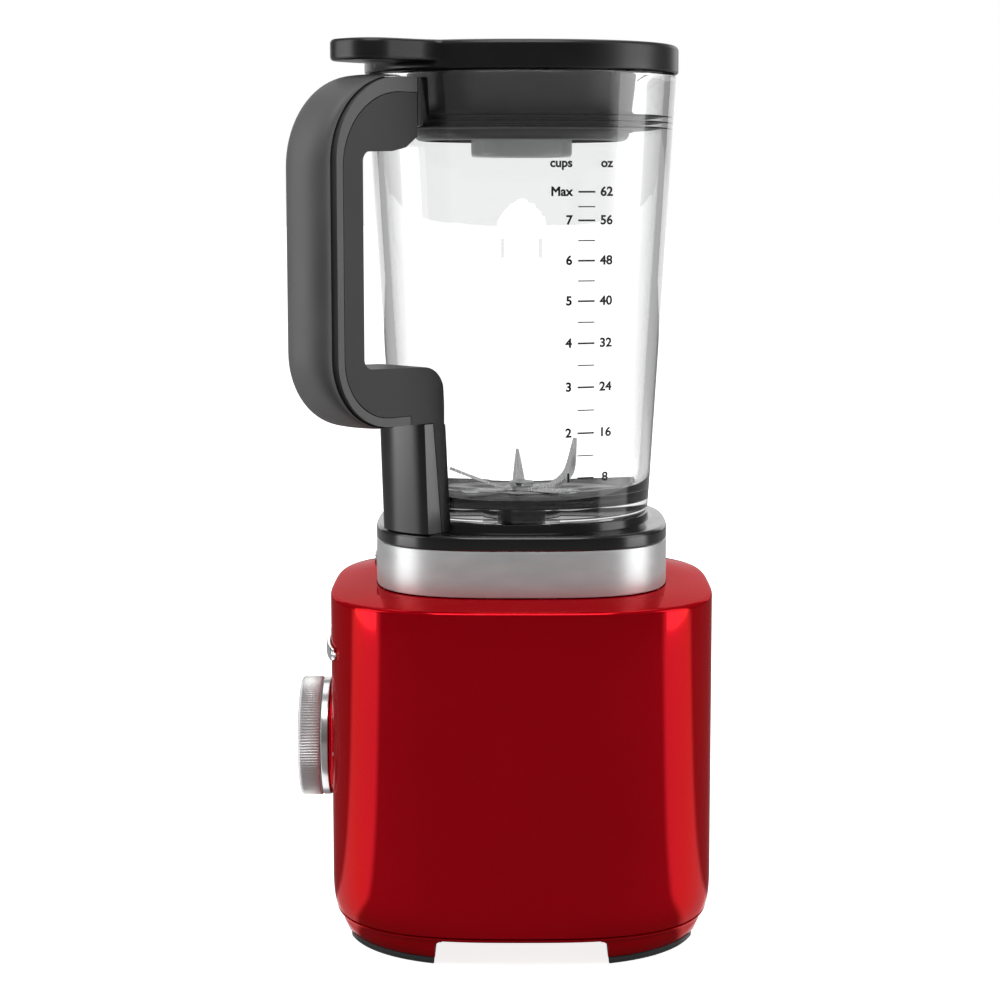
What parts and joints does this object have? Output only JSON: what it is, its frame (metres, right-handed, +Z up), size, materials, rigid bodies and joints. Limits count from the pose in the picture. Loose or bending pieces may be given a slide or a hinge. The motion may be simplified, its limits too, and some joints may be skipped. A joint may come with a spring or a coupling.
{
  "type": "countertop blender",
  "caption": "Blender with a rounded-square motor base, a front speed knob, a clear tapered jar with a corner handle, and a lid with a clear measuring cap.",
  "frame": {"origin": "under the middle of the whole object's box, on the surface that the feet stand on", "axes": "+Z up along the drive axis, the knob on the -Y side, the handle at the corner between +X and -Y"},
  "size_m": [0.19, 0.195, 0.4124],
  "materials": {
    "red_casing": "glossy deep red paint",
    "satin_metal": "satin",
    "chrome": "polished",
    "black_gloss": "smooth black",
    "soft_black": "soft-touch charcoal",
    "rubber": "matt dark grey",
    "clear_plastic": "clear",
    "steel": "ground",
    "laminated_iron": "laminated",
    "copper": "bare copper",
    "carbon": "carbon",
    "circuit_board": "green board",
    "white_plastic": "off-white"
  },
  "bodies": {
    "base": {"base_housing": "red_casing", "base_bottom": "red_casing", "foot_front_right": "rubber", "foot_rear_right": "rubber", "foot_rear_left": "rubber", "foot_front_left": "rubber", "collar": "satin_metal", "seat_well": "black_gloss", "front_trim_bar": "chrome", "collar_badge": "chrome", "cord_gland": "black_gloss", "speed_control": "white_plastic", "control_board": "circuit_board", "lower_bearing": "steel", "upper_bearing": "steel", "lower_bracket": "satin_metal", "upper_bracket": "satin_metal", "motor_bolt_left": "steel", "motor_bolt_right": "steel", "stator": "laminated_iron", "field_winding_front": "copper", "field_winding_rear": "copper", "brush_front": "carbon", "brush_rear": "carbon", "brush_holder_front": "black_gloss", "brush_holder_rear": "black_gloss", "jar_switch": "black_gloss", "cover_screw_front_right": "steel", "cover_screw_rear_right": "steel", "cover_screw_rear_left": "steel", "cover_screw_front_left": "steel"},
    "rotor": {"motor_shaft": "steel", "armature": "laminated_iron", "commutator": "copper", "cooling_fan": "white_plastic", "drive_coupling": "black_gloss"},
    "knob": {"knob_grip": "satin_metal", "knob_ring": "chrome", "knob_shaft": "steel"},
    "switch_plunger": {"jar_switch_plunger": "white_plastic"},
    "jar": {"jar": "clear_plastic", "jar_foot": "black_gloss", "handle_core": "soft_black", "handle_band": "soft_black", "handle_grip": "soft_black", "handle_post": "black_gloss", "handle_flange": "black_gloss", "blade_bearing": "steel", "blade_seal": "rubber", "blade_clamp_nut": "black_gloss"},
    "blades": {"lower_blade": "steel", "upper_blade": "steel", "blade_spindle": "steel", "blade_nut": "chrome", "jar_coupling": "black_gloss"},
    "lid": {"lid": "black_gloss", "lid_seal": "rubber"},
    "measuring_cap": {"measuring_cap": "clear_plastic"}
  },
  "joints": [
    {"name": "motor_spin", "type": "hinge", "parent": "base", "child": "rotor", "pos_m": [-0.00581, 0.00755, 0.09], "axis": [0, 0, 1], "continuous": true},
    {"name": "knob_turn", "type": "hinge", "parent": "base", "child": "knob", "pos_m": [-0.00581, -0.09245, 0.0877], "axis": [0, 1, 0], "range_deg": [0, 300]},
    {"name": "jar_lift", "type": "slide", "parent": "base", "child": "jar", "axis": [0, 0, 1], "range_m": [0, 0.12]},
    {"name": "switch_press", "type": "slide", "parent": "base", "child": "switch_plunger", "axis": [0, 0, 1], "range_m": [0, 0.003]},
    {"name": "blade_spin", "type": "hinge", "parent": "jar", "child": "blades", "pos_m": [-0.00581, 0.00755, 0.2], "axis": [0, 0, 1], "continuous": true},
    {"name": "lid_lift", "type": "slide", "parent": "jar", "child": "lid", "axis": [0, 0, 1], "range_m": [0, 0.09]},
    {"name": "cap_lift", "type": "slide", "parent": "lid", "child": "measuring_cap", "axis": [0, 0, 1], "range_m": [0, 0.07]}
  ],
  "couplings": [
    {"joint": "blade_spin", "follows": "motor_spin", "ratio": 1},
    {"joint": "switch_press", "follows": "jar_lift", "ratio": 0.025}
  ]
}
